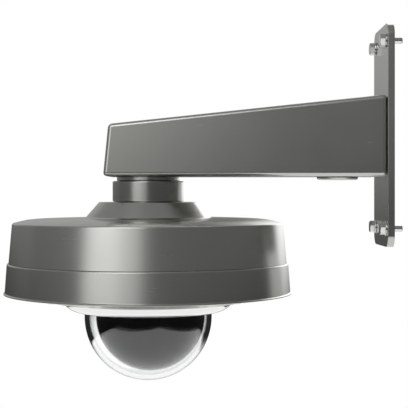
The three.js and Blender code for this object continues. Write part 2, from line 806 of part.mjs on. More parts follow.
function tiltBush(side) {
  const inner = TRUNNION_RADIUS + 0.4;
  const bush = turned(
    [
      [inner, YOKE_INNER - 1.2],
      [7.2, YOKE_INNER - 1.2],
      [7.2, YOKE_INNER - GAP],
      [5.5, YOKE_INNER - GAP],
      [5.5, YOKE_INNER + YOKE_THICK],
      [inner, YOKE_INNER + YOKE_THICK],
    ],
    SMALL,
  );
  const quarter = new THREE.Matrix4().makeRotationY((side * Math.PI) / 2);
  return moved(turnedBy(bush, quarter), 0, 0, DOME_Z);
}

add("turntable", turntable(), ALLOY, head);
add("pan_bearing_inner", ring(26, 30.4, BEARING_BOTTOM, BEARING_TOP), ALLOY, head);
const panPulley = pulley(PAN_PULLEY_RADIUS, 52, PAN_PULLEY_BOTTOM, PAN_PULLEY_TOP, LARGE);
add("pan_pulley", panPulley, ALLOY, head);
const rotorEnds = [TURNTABLE_BOTTOM - 1.5, -99.8];
add("slip_ring_rotor", disc(SLIP_ROTOR_RADIUS, ...rotorEnds, SMALL), BRASS, head);
add("yoke", yoke(), ALLOY, head);
add("ball_shroud", shroud(), BLACK, head);
add("tilt_motor", tiltMotor(), BLACK, head);
add("tilt_belt", tiltBelt(), SEAL, head);
add("tilt_bush_left", tiltBush(-1), BRASS, head);
add("tilt_bush_right", tiltBush(1), BRASS, head);

function tiltMotorPulley() {
  const facets = SMALL;
  const wheel = pulley(TILT_MOTOR_PULLEY_RADIUS, 0, TILT_PULLEY_IN, TILT_PULLEY_OUT, facets);
  const shaft = disc(1.5, TILT_PULLEY_OUT - 1, YOKE_INNER + YOKE_THICK + 4, 8);
  return moved(alongX(wheel.add(shaft)), 0, 0, TILT_MOTOR_Z);
}

add("tilt_motor_pulley", tiltMotorPulley(), ALLOY, head);

// ---------------------------------------------------------------- camera module
// Its own +Y is the optical axis, and its origin is on the tilt axis.
const module = new THREE.Group();
module.position.z = DOME_Z;
module.rotation.x = -REST_TILT;
head.add(module);

// Extrudes an outline of the module's cross-section from one place on the optical axis to another.
function alongOptics(outline, from, to) {
  const geometry = extruded(outline, to - from, 4).rotateX(Math.PI / 2).translate(0, to, 0);
  return solid(geometry);
}

const moduleSection = () =>
  roundedRectangle(2 * MODULE_HALF_WIDTH, 2 * MODULE_HALF_HEIGHT, 4);

// Case of the module, with a lens bore in front, a pocket for the sensor and two trunnions.
function moduleCase() {
  const pocket = roundedRectangle(2 * MODULE_HALF_WIDTH - 10, 2 * MODULE_HALF_HEIGHT - 8, 2);
  const trunnions = disc(TRUNNION_RADIUS, -43, 43, SMALL);
  return alongOptics(moduleSection(), MODULE_BACK, MODULE_FRONT)
    .add(alongX(trunnions))
    .subtract(alongY(disc(BARREL_RADIUS + GAP, MODULE_BACK + 5, MODULE_FRONT + 1)))
    .subtract(alongOptics(pocket, MODULE_BACK - 1, MODULE_BACK + 8));
}

function lensBarrel() {
  const start = MODULE_BACK + 9;
  const seat = BARREL_END - 6;
  return alongY(
    turned([
      [BARREL_BORE, start],
      [BARREL_RADIUS, start],
      [BARREL_RADIUS, BARREL_END - 0.8],
      [BARREL_RADIUS - 0.8, BARREL_END],
      [BARREL_BORE, BARREL_END],
      [BARREL_BORE, seat],
      [BARREL_BORE - 0.8, seat],
      [BARREL_BORE - 0.8, seat - 1.2],
      [BARREL_BORE, seat - 1.2],
    ]),
  );
}

// Front element, bulging at both faces.
function frontLens() {
  const radius = BARREL_BORE - GAP;
  const seat = BARREL_END - 6 + GAP;
  const outline = [
    [0, seat],
    [radius, seat],
    [radius, seat + 2.2],
    [radius * 0.7, seat + 3.6],
    [radius * 0.35, seat + 4.4],
    [0, seat + 4.7],
  ];
  return alongY(turned(outline, MEDIUM));
}

// A lens element in its ring, one body.
function lensCell(from, to) {
  const middle = (from + to) / 2;
  return alongY(
    turned(
      [
        [0, middle - 2],
        [CELL_RADIUS * 0.45, middle - 1.7],
        [CELL_RADIUS * 0.8, middle - 1],
        [CELL_RADIUS * 0.8, from],
        [CELL_RADIUS, from],
        [CELL_RADIUS, to],
        [CELL_RADIUS * 0.8, to],
        [CELL_RADIUS * 0.8, middle + 1],
        [CELL_RADIUS * 0.45, middle + 1.7],
        [0, middle + 2],
      ],
      SMALL,
    ),
  );
}

add("module_case", moduleCase(), MODULE_BLACK, module);
add("module_rear_cover", alongOptics(moduleSection(), MODULE_BACK - 2.3, MODULE_BACK - GAP), ALLOY, module);
const sensorSize = roundedRectangle(2 * MODULE_HALF_WIDTH - 11, 2 * MODULE_HALF_HEIGHT - 9, 1.5);
add("sensor_board", alongOptics(sensorSize, MODULE_BACK + 5, MODULE_BACK + 7), BOARD, module);
add("lens_barrel", lensBarrel(), MODULE_BLACK, module);
add("front_lens", frontLens(), COATED_GLASS, module);
const tiltPulleyBore = TRUNNION_RADIUS + GAP;
add(
  "tilt_pulley",
  alongX(pulley(TILT_PULLEY_RADIUS, tiltPulleyBore, TILT_PULLEY_IN, TILT_PULLEY_OUT, MEDIUM)),
  ALLOY,
  module,
);

// Inside the barrel: the cam ring turns and carries the zoom group; the focus group slides by itself.
add("zoom_cam", alongY(ring(CELL_RADIUS + 0.4, CAM_RADIUS, -16, 34, MEDIUM)), BRASS, module);
add("zoom_group", lensCell(14, 21), MODULE_BLACK, module);
add("focus_group", lensCell(-8, -2), MODULE_BLACK, module);

export default camera;
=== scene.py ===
"""Looks of a stainless-steel pan-tilt-zoom dome camera on its wall arm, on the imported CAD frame."""
import json
import math

import bmesh
import bpy
from mathutils import Matrix, Vector

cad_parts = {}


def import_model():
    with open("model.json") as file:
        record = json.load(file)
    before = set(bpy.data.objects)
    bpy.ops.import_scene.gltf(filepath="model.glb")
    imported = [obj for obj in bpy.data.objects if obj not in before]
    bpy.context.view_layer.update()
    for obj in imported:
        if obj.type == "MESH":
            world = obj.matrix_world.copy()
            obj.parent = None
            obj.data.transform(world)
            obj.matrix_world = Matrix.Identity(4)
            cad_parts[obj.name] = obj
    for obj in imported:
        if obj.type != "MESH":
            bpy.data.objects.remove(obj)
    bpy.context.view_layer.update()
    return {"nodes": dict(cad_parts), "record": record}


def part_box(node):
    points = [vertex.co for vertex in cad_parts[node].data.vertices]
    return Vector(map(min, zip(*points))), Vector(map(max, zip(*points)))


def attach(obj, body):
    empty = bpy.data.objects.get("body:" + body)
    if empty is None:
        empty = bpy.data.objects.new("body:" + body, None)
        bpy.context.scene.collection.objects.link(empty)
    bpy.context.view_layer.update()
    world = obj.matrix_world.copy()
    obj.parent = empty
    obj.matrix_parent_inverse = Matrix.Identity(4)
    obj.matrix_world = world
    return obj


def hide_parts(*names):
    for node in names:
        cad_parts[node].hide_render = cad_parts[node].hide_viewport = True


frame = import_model()

# ---------------------------------------------------------------- places taken from the frame
MM = 0.001
RECORD = frame["record"]
JOINTS = {joint["name"]: joint for joint in RECORD["behaviour"]["joints"]}
BODY_OF = {node: body for body, nodes in RECORD["behaviour"]["bodies"].items() for node in nodes}
SLOT_OF = {part["node"]: part["material_slot"] for part in RECORD["subparts"]}
DOME_CENTRE = Vector(JOINTS["pan"]["pos_m"])
OPTIC_AXIS = Vector(JOINTS["zoom_slide"]["axis"]).normalized()


def middle(node):
    low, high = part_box(node)
    return (Vector(low) + Vector(high)) / 2


def span(node, axis):
    low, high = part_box(node)
    return low[axis] / MM, high[axis] / MM


# Local frames that the pieces are drawn in. Millimetres are turned into metres by the builders.
WORLD = Matrix.Identity(4)
PENDANT = Matrix.Translation((DOME_CENTRE.x, DOME_CENTRE.y, 0))
ALONG_X = Matrix.Rotation(math.pi / 2, 4, "Y")
ALONG_Y = Matrix.Rotation(-math.pi / 2, 4, "X")
TO_OPTIC = Vector((0, 0, 1)).rotation_difference(OPTIC_AXIS).to_matrix().to_4x4()
OPTIC = Matrix.Translation(DOME_CENTRE) @ TO_OPTIC


# ---------------------------------------------------------------- outlines
def rounded(corners, step=9):
    """Closed outline through (x, y, radius) corners, each rounded by an arc of its radius."""
    points = []
    for i, (x, y, radius) in enumerate(corners):
        here = Vector((x, y))
        if not radius:
            points.append((x, y))
            continue
        before = (Vector(corners[i - 1][:2]) - here).normalized()
        after = (Vector(corners[(i + 1) % len(corners)][:2]) - here).normalized()
        half = before.angle(after) / 2
        centre = here + (before + after).normalized() * radius / math.sin(half)
        start = here + before * radius / math.tan(half) - centre
        turn = math.pi - 2 * half
        if before.x * after.y - before.y * after.x > 0:
            turn = -turn
        count = max(2, math.ceil(abs(math.degrees(turn)) / step))
        first = math.atan2(start.y, start.x)
        for k in range(count + 1):
            angle = first + turn * k / count
            points.append((centre.x + radius * math.cos(angle), centre.y + radius * math.sin(angle)))
    return points


def arc(x, y, radius, start, end, count):
    """Points on a circle, from one angle to another in degrees."""
    angles = [math.radians(start + (end - start) * k / count) for k in range(count + 1)]
    return [(x + radius * math.cos(a), y + radius * math.sin(a)) for a in angles]


def circle(x, y, radius, count=64):
    return arc(x, y, radius, 0, 360, count)[:-1]


def rectangle(width, height, radius):
    x, y = width / 2, height / 2
    return rounded([(x, -y, radius), (x, y, radius), (-x, y, radius), (-x, -y, radius)])


# ---------------------------------------------------------------- mesh builders
def new_object(name, mesh):
    obj = bpy.data.objects.new(name, mesh)
    bpy.context.scene.collection.objects.link(obj)
    return obj


def object_from(name, bm):
    bmesh.ops.remove_doubles(bm, verts=bm.verts, dist=1e-7)
    bmesh.ops.recalc_face_normals(bm, faces=bm.faces)
    mesh = bpy.data.meshes.new(name)
    bm.to_mesh(mesh)
    bm.free()
    return new_object(name, mesh)


def loft(name, rings, place, closed_ends=False):
    """Skin over rings of points in millimetres, all with the same count.

    The last ring meets the first, or both are capped.
    """
    bm = bmesh.new()
    loops = [[bm.verts.new(place @ (Vector(p) * MM)) for p in ring] for ring in rings]
    count = len(loops[0])
    pairs = list(zip(loops, loops[1:]))
    if not closed_ends:
        pairs.append((loops[-1], loops[0]))
    for low, high in pairs:
        for k in range(count):
            quad = [low[k], low[(k + 1) % count], high[(k + 1) % count], high[k]]
            bm.faces.new(quad)
    if closed_ends:
        bm.faces.new(loops[0])
        bm.faces.new(loops[-1])
    return object_from(name, bm)


def revolve(name, outline, place, facets=160):
    """A closed outline of (radius, height) points turned about the local Z axis."""
    bm = bmesh.new()
    angles = [2 * math.pi * k / facets for k in range(facets)]
    loops = []
    for radius, z in outline:
        if radius < 1e-6:
            loops.append([bm.verts.new(place @ Vector((0, 0, z * MM)))] * facets)
        else:
            ring = [Vector((radius * math.cos(a), radius * math.sin(a), z)) for a in angles]
            loops.append([bm.verts.new(place @ (point * MM)) for point in ring])
    for low, high in zip(loops, loops[1:] + loops[:1]):
        for k in range(facets):
            corners = []
            for vert in (low[k], low[(k + 1) % facets], high[(k + 1) % facets], high[k]):
                if vert not in corners:
                    corners.append(vert)
            if len(corners) > 2:
                bm.faces.new(corners)
    return object_from(name, bm)


def plate(name, outlines, low, high, edge, place):
    """A flat piece with the first outline's shape and the others as holes, its edges rounded."""
    curve = bpy.data.curves.new(name, "CURVE")
    curve.dimensions = "2D"
    curve.fill_mode = "BOTH"
    curve.extrude = ((high - low) / 2 - edge) * MM
    curve.bevel_depth = edge * MM
    curve.bevel_resolution = 2
    curve.offset = -edge * MM
    for outline in outlines:
        spline = curve.splines.new("POLY")
        spline.points.add(len(outline) - 1)
        for point, (x, y) in zip(spline.points, outline):
            point.co = (x * MM, y * MM, 0, 1)
        spline.use_cyclic_u = True
    holder = new_object(name, curve)
    depsgraph = bpy.context.evaluated_depsgraph_get()
    bm = bmesh.new()
    bm.from_mesh(holder.evaluated_get(depsgraph).to_mesh())
    bpy.data.objects.remove(holder)
    bpy.data.curves.remove(curve)
    bm.transform(place @ Matrix.Translation((0, 0, (low + high) / 2 * MM)))
    return object_from(name, bm)


def boolean(obj, tools, operation="DIFFERENCE"):
    """Cuts obj with the tools, or joins or intersects them, and removes the tools."""
    for tool in tools:
        step = obj.modifiers.new("boolean", "BOOLEAN")
        step.operation = operation
        step.solver = "EXACT"
        step.object = tool
    depsgraph = bpy.context.evaluated_depsgraph_get()
    mesh = bpy.data.meshes.new_from_object(obj.evaluated_get(depsgraph))
    obj.modifiers.clear()
    obj.data = mesh
    for tool in tools:
        bpy.data.objects.remove(tool)
    return obj


def bevelled(obj, width, segments=3, angle=40):
    step = obj.modifiers.new("edges", "BEVEL")
    step.width = width * MM
    step.segments = segments
    step.limit_method = "ANGLE"
    step.angle_limit = math.radians(angle)
    depsgraph = bpy.context.evaluated_depsgraph_get()
    mesh = bpy.data.meshes.new_from_object(obj.evaluated_get(depsgraph))
    obj.modifiers.clear()
    obj.data = mesh
    return obj


def join(obj, others):
    """Adds the others' meshes to obj as they stand."""
    bm = bmesh.new()
    bm.from_mesh(obj.data)
    for other in others:
        bm.from_mesh(other.data)
        bpy.data.objects.remove(other)
    bm.to_mesh(obj.data)
    bm.free()
    return obj


# ---------------------------------------------------------------- materials
def new_material(name):
    material = bpy.data.materials.new(name)
    material.use_nodes = True
    tree = material.node_tree
    shader = tree.nodes["Principled BSDF"]
    return material, tree, shader


def add_node(tree, kind, inputs=(), **settings):
    """A node with its settings, and its inputs as values or as sockets to link from."""
    node = tree.nodes.new(kind)
    for key, value in settings.items():
        setattr(node, key, value)
    for key, value in dict(inputs).items():
        if isinstance(value, bpy.types.NodeSocket):
            tree.links.new(value, node.inputs[key])
        else:
            node.inputs[key].default_value = value
    return node


def math_node(tree, operation, *values):
    return add_node(tree, "ShaderNodeMath", enumerate(values), operation=operation).outputs[0]


def noise(tree, vector, scale, detail=4.0, roughness=0.5):
    values = {"Vector": vector, "Scale": scale, "Detail": detail, "Roughness": roughness}
    return add_node(tree, "ShaderNodeTexNoise", values).outputs["Fac"]


def spread(tree, value, low, high, to_low, to_high):
    values = {"Value": value, "From Min": low, "From Max": high, "To Min": to_low, "To Max": to_high}
    return add_node(tree, "ShaderNodeMapRange", values).outputs["Result"]


def object_place(tree):
    return add_node(tree, "ShaderNodeTexCoord").outputs["Object"]


def stretched(tree, scale, centre=(0, 0, 0)):
    """Object coordinates moved to a centre and scaled on each axis."""
    values = {"Vector": object_place(tree), "Location": centre, "Scale": scale}
    return add_node(tree, "ShaderNodeMapping", values, vector_type="TEXTURE").outputs["Vector"]


def turned_coordinates(tree, centre, fineness):
    """Coordinates that run in rings round a vertical axis, for marks left by turning."""
    values = {0: object_place(tree), 1: centre}
    moved = add_node(tree, "ShaderNodeVectorMath", values, operation="SUBTRACT")
    parts = add_node(tree, "ShaderNodeSeparateXYZ", {0: moved.outputs[0]})
    flat = add_node(tree, "ShaderNodeCombineXYZ", {0: parts.outputs[0], 1: parts.outputs[1]})
    length = add_node(tree, "ShaderNodeVectorMath", {0: flat.outputs[0]}, operation="LENGTH")
    unit = add_node(tree, "ShaderNodeVectorMath", {0: flat.outputs[0]}, operation="NORMALIZE")
    way = add_node(tree, "ShaderNodeSeparateXYZ", {0: unit.outputs[0]})
    height = math_node(tree, "MULTIPLY", parts.outputs[2], fineness)
    out = math_node(tree, "MULTIPLY", length.outputs["Value"], fineness * 0.7)
    depth = math_node(tree, "ADD", height, out)
    values = {0: way.outputs[0], 1: way.outputs[1], 2: depth}
    return add_node(tree, "ShaderNodeCombineXYZ", values).outputs[0]


def bump(tree, height, strength, distance=0.0002):
    values = {"Height": height, "Strength": strength, "Distance": distance}
    return add_node(tree, "ShaderNodeBump", values).outputs["Normal"]


def shaded(tree, shader, tone, level):
    """Base colour of one tone, lighter and darker with a level."""
    values = {0: tone, "Scale": level}
    colour = add_node(tree, "ShaderNodeVectorMath", values, operation="SCALE")
    tree.links.new(colour.outputs[0], shader.inputs["Base Color"])


def satin_steel(name, grain_coordinates, tone=(0.53, 0.53, 0.505), rough=0.25, grain=1.0):
    """Satin stainless steel with a fine directional grain, faint marks and a slightly mottled tone."""
    material, tree, shader = new_material(name)
    place = object_place(tree)
    lines = noise(tree, grain_coordinates(tree), 1.0, 3.0, 0.6)
    speckle = noise(tree, place, 1800.0, 2.0)
    marks = noise(tree, place, 14.0, 5.0, 0.62)
    cloud = noise(tree, place, 5.0, 2.0)
    shade = spread(tree, cloud, 0.3, 0.7, 0.96, 1.04)
    fine = spread(tree, lines, 0.3, 0.7, 1 - 0.02 * grain, 1 + 0.02 * grain)
    shaded(tree, shader, tone, math_node(tree, "MULTIPLY", shade, fine))
    base = spread(tree, marks, 0.35, 0.7, rough - 0.015, rough + 0.02)
    streak = spread(tree, lines, 0.3, 0.7, -0.012 * grain, 0.012 * grain)
    tree.links.new(math_node(tree, "ADD", base, streak), shader.inputs["Roughness"])
    coarse = math_node(tree, "MULTIPLY", lines, 0.7)
    height = math_node(tree, "ADD", coarse, math_node(tree, "MULTIPLY", speckle, 0.3))
    tree.links.new(bump(tree, height, 0.045 * grain, 0.00004), shader.inputs["Normal"])
    shader.inputs["Metallic"].default_value = 1.0
    return material


def rings_about_pendant(tree):
    return turned_coordinates(tree, (DOME_CENTRE.x, DOME_CENTRE.y, 0), 2600.0)


def along_arm(tree):
    return stretched(tree, (0.05, 0.0004, 0.0004))


def up_plate(tree):
    return stretched(tree, (0.0004, 0.0004, 0.05))


def fine_grain(tree):
    return stretched(tree, (0.0008, 0.0008, 0.0008))


def polished_steel():
    """Bright steel with a light haze and the faint swirls of polishing."""
    material, tree, shader = new_material("polished_steel")
    place = object_place(tree)
    marks = noise(tree, place, 60.0, 6.0, 0.65)
    haze = noise(tree, place, 9.0, 3.0)
    swirl = noise(tree, rings_about_pendant(tree), 0.5, 2.0)
    rough = spread(tree, marks, 0.45, 0.75, 0.07, 0.15)
    rough = math_node(tree, "ADD", rough, math_node(tree, "MULTIPLY", haze, 0.03))
    tree.links.new(rough, shader.inputs["Roughness"])
    tree.links.new(bump(tree, swirl, 0.05, 0.00003), shader.inputs["Normal"])
    shader.inputs["Base Color"].default_value = (0.86, 0.86, 0.845, 1)
    shader.inputs["Metallic"].default_value = 1.0
    return material


def clear_dome():
    """Optically clear polycarbonate with the faintest dust and moulding ripple."""
    material, tree, shader = new_material("clear_dome")
    dust = noise(tree, object_place(tree), 900.0, 3.0)
    ripple = noise(tree, object_place(tree), 20.0, 1.0)
    tree.links.new(spread(tree, dust, 0.66, 0.8, 0.0, 0.05), shader.inputs["Roughness"])
    tree.links.new(bump(tree, ripple, 0.02, 0.0002), shader.inputs["Normal"])
    shader.inputs["Base Color"].default_value = (0.97, 0.98, 0.98, 1)
    shader.inputs["Transmission Weight"].default_value = 1.0
    shader.inputs["IOR"].default_value = 1.49
    return material


def gloss_black():
    """Glossy black paint with a little orange peel."""
    material, tree, shader = new_material("gloss_black")
    place = object_place(tree)
    marks = noise(tree, place, 35.0, 5.0, 0.6)
    peel = noise(tree, place, 240.0, 2.0)
    tree.links.new(spread(tree, marks, 0.35, 0.75, 0.12, 0.18), shader.inputs["Roughness"])
    tree.links.new(bump(tree, peel, 0.02, 0.0001), shader.inputs["Normal"])
    shaded(tree, shader, (0.004, 0.004, 0.0045), spread(tree, marks, 0.3, 0.7, 0.9, 1.1))
    shader.inputs["IOR"].default_value = 1.52
    return material


def moulded(name, tone, rough, texture=600.0, depth=0.15):
    """Moulded plastic or rubber with a fine even texture."""
    material, tree, shader = new_material(name)
    place = object_place(tree)
    grain = noise(tree, place, texture, 3.0)
    marks = noise(tree, place, 25.0, 4.0)
    shaded(tree, shader, tone, spread(tree, marks, 0.3, 0.7, 0.88, 1.12))
    tree.links.new(spread(tree, grain, 0.3, 0.7, rough - 0.06, rough + 0.06), shader.inputs["Roughness"])
    tree.links.new(bump(tree, grain, depth, 0.0001), shader.inputs["Normal"])
    return material


def machined(name, tone, rough):
    """Machined alloy with fine tool marks."""
    material, tree, shader = new_material(name)
    place = object_place(tree)
    lines = noise(tree, rings_about_pendant(tree), 0.6, 3.0)
    marks = noise(tree, place, 30.0, 4.0)
    shaded(tree, shader, tone, spread(tree, lines, 0.3, 0.7, 0.93, 1.07))
    tree.links.new(spread(tree, marks, 0.3, 0.7, rough - 0.05, rough + 0.08), shader.inputs["Roughness"])
    tree.links.new(bump(tree, lines, 0.15, 0.00005), shader.inputs["Normal"])
    shader.inputs["Metallic"].default_value = 1.0
    return material


def circuit_board():
    """Green solder mask over a maze of copper tracks."""
    material, tree, shader = new_material("circuit_board")
    place = object_place(tree)
    values = {"Vector": place, "Scale": 260.0}
    settings = {"distance": "MANHATTAN", "feature": "DISTANCE_TO_EDGE"}
    cells = add_node(tree, "ShaderNodeTexVoronoi", values, **settings)
    tracks = spread(tree, cells.outputs["Distance"], 0.04, 0.07, 1.0, 0.0)
    mix = add_node(tree, "ShaderNodeMix", {0: tracks}, data_type="RGBA")
    mix.inputs[6].default_value = (0.008, 0.085, 0.035, 1)
    mix.inputs[7].default_value = (0.03, 0.20, 0.08, 1)
    tree.links.new(mix.outputs[2], shader.inputs["Base Color"])
    tree.links.new(spread(tree, tracks, 0, 1, 0.35, 0.25), shader.inputs["Roughness"])
    tree.links.new(bump(tree, tracks, 0.3, 0.00005), shader.inputs["Normal"])
    return material


def coated_glass():
    """Lens glass with an anti-reflection film."""
    material, tree, shader = new_material("coated_glass")
    ripple = noise(tree, object_place(tree), 80.0, 1.0)
    tree.links.new(spread(tree, ripple, 0, 1, 0.0, 0.02), shader.inputs["Roughness"])
    shader.inputs["Base Color"].default_value = (0.86, 0.90, 0.96, 1)
    shader.inputs["Transmission Weight"].default_value = 1.0
    shader.inputs["IOR"].default_value = 1.6
    shader.inputs["Thin Film Thickness"].default_value = 420.0
    shader.inputs["Thin Film IOR"].default_value = 1.38
    return material


MATERIALS = {
    "drum_steel": satin_steel("drum_steel", rings_about_pendant),
    "arm_steel": satin_steel("arm_steel", along_arm),
    "plate_steel": satin_steel("plate_steel", up_plate),
    "satin_steel": satin_steel("satin_steel", rings_about_pendant),
    "bolt_steel": satin_steel("bolt_steel", fine_grain, (0.72, 0.72, 0.70), 0.18),
    "polished_steel": polished_steel(),
    "clear_dome": clear_dome(),
    "gloss_black": gloss_black(),
    "black_rubber": moulded("black_rubber", (0.018, 0.018, 0.018), 0.62, 900.0, 0.2),
    "alloy": machined("alloy", (0.68, 0.69, 0.70), 0.34),
    "circuit_board": circuit_board(),
    "module_black": moulded("module_black", (0.022, 0.022, 0.024), 0.42, 1400.0),
    "coated_glass": coated_glass(),
    "bronze": machined("bronze", (0.62, 0.45, 0.22), 0.3),
}


# ---------------------------------------------------------------- pieces on the frame
def dress(obj, nodes, material=None, sharp=32):
    """Gives a piece its finish and puts it on the body of the CAD nodes that it stands for."""
    nodes = [nodes] if isinstance(nodes, str) else nodes
    slot = SLOT_OF[nodes[0]]
    obj.data.materials.clear()
    obj.data.materials.append(MATERIALS[material or slot])
    obj.data.shade_smooth()
    obj.data.set_sharp_from_angle(angle=math.radians(sharp))
    weighted = obj.modifiers.new("normals", "WEIGHTED_NORMAL")
    weighted.keep_sharp = True
    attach(obj, BODY_OF[nodes[0]])
    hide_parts(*nodes)
    return obj


# ---------------------------------------------------------------- driving sizes, in millimetres
GAP = 0.3  # between pieces that touch
PLATE_CORNER = 11
CABLE_HOLE_RADIUS = 20
BOLT_RADIUS = 3
BOLT_HEAD_RADIUS = 5.77  # to the corners
BOLT_HEAD_TURN = 19
BOLT_CHAMFER_RADIUS = 6.6  # of the cone that trims the head, at its foot
WASHER_RADIUS = 6.2
WASHER_THICK = 1.1

ARM_TOP = 34.8
ARM_TIP_TOP = 9.1
ARM_TIP_X = -248.2
ARM_EDGE = 3.5
ARM_WALL = 3
CONDUIT_RADIUS = 18.5

NIPPLE_RADIUS = 24
NIPPLE_BORE = 19
BOSS_RADIUS = 28.2
BOSS_BOTTOM = -40
BOSS_TOP = -36.5
COLLAR_RADIUS = 32

CONE_TOP_RADIUS = 44
CONE_TOP = -59.1
CONE_FOOT_RADIUS = 56.5
CROWN = -73.4
DRUM_RADIUS = 124
DRUM_BOTTOM = -113.2
SCREW_BOSS_BOTTOM = -128
SEAT = -115.5  # of the gasket between the two shells
LIP_RADIUS = 128.4
LIP = -140.4
COVER_INNER_RADIUS = 62.3
COVER_BOTTOM = -147.3
SCREW_SEAT = -140.6
SCREW_RADIUS = 2
SCREW_HEAD_RADIUS = 4

DOME_RADIUS = 57
DOME_WALL = 4.2
DOME_FLANGE_RADIUS = 69
DOME_FLANGE = (-148.2, -146.2)
RING_RADIUS = 75.2
BALL_RADIUS = 48.6
BALL_WALL = 2
BALL_SHIFT = 2  # how far the ball hangs off the pan axis
SLOT_HALF_WIDTH = 14.5


# ---------------------------------------------------------------- wall plate and bolts
PLATE_FRONT, PLATE_BACK = span("wall_plate", 0)
WALL_CORNERS = [(middle(f"wall_bolt_{i}").y / MM, middle(f"wall_bolt_{i}").z / MM) for i in range(1, 5)]


def cylinder(name, radius, low, high, place, facets):
    """Plain round tool for a boolean."""
    return revolve(name, [(0, low), (radius, low), (radius, high), (0, high)], place, facets)


def hexagon_prism(name, radius, low, high, place, first=0):
    corners = arc(0, 0, radius, first, first + 360, 6)[:-1]
    rings = [[(x, y, z) for x, y in corners] for z in (low, high)]
    return loft(name, rings, place, closed_ends=True)


def wall_plate():
    low, high = (Vector(v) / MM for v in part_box("wall_plate"))
    centre = (low.z + high.z) / 2
    outline = rectangle(high.z - low.z, high.y - low.y, PLATE_CORNER)
    outer = [(x + centre, y) for x, y in outline]
    cable_hole = circle(0, 0, CABLE_HOLE_RADIUS, 96)
    bolt_holes = [circle(z, y, BOLT_RADIUS + GAP, 32) for y, z in WALL_CORNERS]
    stand = Matrix.Rotation(-math.pi / 2, 4, "Y")
    # The local Z axis points along -X here, so heights run from the wall outwards.
    outlines = [outer, cable_hole, *bolt_holes]
    obj = plate("wall_plate_fine", outlines, -PLATE_BACK, -PLATE_FRONT, 0.3, stand)
    return dress(obj, "wall_plate", "plate_steel")


def wall_bolt(i, y, z):
    """Hexagon bolt with a chamfered head and a chamfered tip behind the plate."""
    place = Matrix.Translation((0, y * MM, z * MM)) @ ALONG_X
    top, tip = span("wall_bolt_1", 0)
    face = PLATE_FRONT - GAP - WASHER_THICK - 0.1
    head = hexagon_prism(f"wall_bolt_{i}_fine", BOLT_HEAD_RADIUS, top, face, place, BOLT_HEAD_TURN)
    wide = BOLT_CHAMFER_RADIUS
    cone = [(0, top), (4.9, top), (wide, top + 1), (wide, face + 1), (0, face + 1)]
    head = boolean(head, [revolve("chamfer", cone, place, 48)], "INTERSECT")
    low = face - 0.2
    shank = [(0, low), (BOLT_RADIUS, low), (BOLT_RADIUS, tip - 0.7), (BOLT_RADIUS - 0.7, tip), (0, tip)]
    rod = revolve("rod", shank, place, 48)
    return dress(join(head, [rod]), f"wall_bolt_{i}", "bolt_steel")


def wall_washer(i, y, z):
    place = Matrix.Translation((0, y * MM, z * MM)) @ ALONG_X
    low, high = span(f"wall_washer_{i}", 0)
    bore = BOLT_RADIUS + GAP
    outline = rounded([
        (bore, low, 0.1),
        (WASHER_RADIUS, low, 0.3),
        (WASHER_RADIUS, high, 0.1),
        (bore, high, 0.1),
    ], 30)
    return dress(revolve(f"wall_washer_{i}_fine", outline, place, 48), f"wall_washer_{i}")


# ---------------------------------------------------------------- arm
def arm_section(x_top, x_bottom, z_top, z_bottom, half_width):
    """Corners of the arm's hollow or outside at one end."""
    return [
        (x_bottom, -half_width, z_bottom),
        (x_bottom, half_width, z_bottom),
        (x_top, half_width, z_top),
        (x_top, -half_width, z_top),
    ]


def arm_top_at(x):
    slope = (ARM_TOP - ARM_TIP_TOP) / (PLATE_FRONT - ARM_TIP_X)
    return ARM_TOP + slope * (x - PLATE_FRONT)


def arm_shell():
    low, high = (Vector(v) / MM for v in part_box("arm_shell"))
    end = high.x
    outer = [
        arm_section(ARM_TIP_X, low.x, ARM_TIP_TOP, low.z, high.y),
        arm_section(end, end, arm_top_at(end), low.z, high.y),
    ]
    shell = bevelled(loft("arm_shell_fine", outer, WORLD, closed_ends=True), ARM_EDGE, 8, 30)
    past_end = end + 10
    floor_z, half = low.z + ARM_WALL, high.y - ARM_WALL
    inner_tip = (ARM_TIP_X + ARM_WALL, low.x + ARM_WALL, ARM_TIP_TOP - ARM_WALL, floor_z, half)
    inner_end = (past_end, past_end, arm_top_at(past_end) - ARM_WALL, floor_z, half)
    hollow = loft("hollow", [arm_section(*inner_tip), arm_section(*inner_end)], WORLD, closed_ends=True)
    conduit = Matrix.Translation((middle("conduit_boss").x, 0, 0))
    heights = (low.z - 5, low.z + 9)
    holes = [
        cylinder("hole", NIPPLE_RADIUS + GAP, *heights, PENDANT, 96),
        cylinder("hole", 12.5, *heights, conduit, 64),
    ]
    return dress(boolean(shell, [hollow, *holes]), "arm_shell", "arm_steel", 25)


def conduit_boss():
    place = Matrix.Translation((middle("conduit_boss").x, 0, 0))
    bottom, top = span("conduit_boss", 2)
    shoulder = BOSS_TOP
    outline = rounded([
        (13.5, bottom, 0.3),
        (CONDUIT_RADIUS, bottom, 2.2),
        (CONDUIT_RADIUS, shoulder, 0),
        (12.2, shoulder, 0),
        (12.2, top, 0.3),
        (9, top, 0.3),
        (9, bottom + 1.8, 0),
        (13.5, bottom + 1.8, 0.2),
    ], 15)
    return dress(revolve("conduit_boss_fine", outline, place, 96), "conduit_boss", "arm_steel")


def conduit_plug():
    """Plug in the conduit entry, with a hexagon socket."""
    place = Matrix.Translation((middle("conduit_boss").x, 0, 0))
    seat = span("conduit_boss", 2)[0] + 1.5
    face, end = span("conduit_plug", 2)
    outline = rounded([
        (0, face, 0),
        (13.2, face, 0.5),
        (13.2, seat, 0),
        (8.7, seat, 0),
        (8.7, end, 0.5),
        (0, end, 0),
    ], 15)
    body = revolve("conduit_plug_fine", outline, place, 96)
    socket = hexagon_prism("socket", 5, face - 1, face + 3.5, place)
    return dress(boolean(body, [socket]), "conduit_plug")


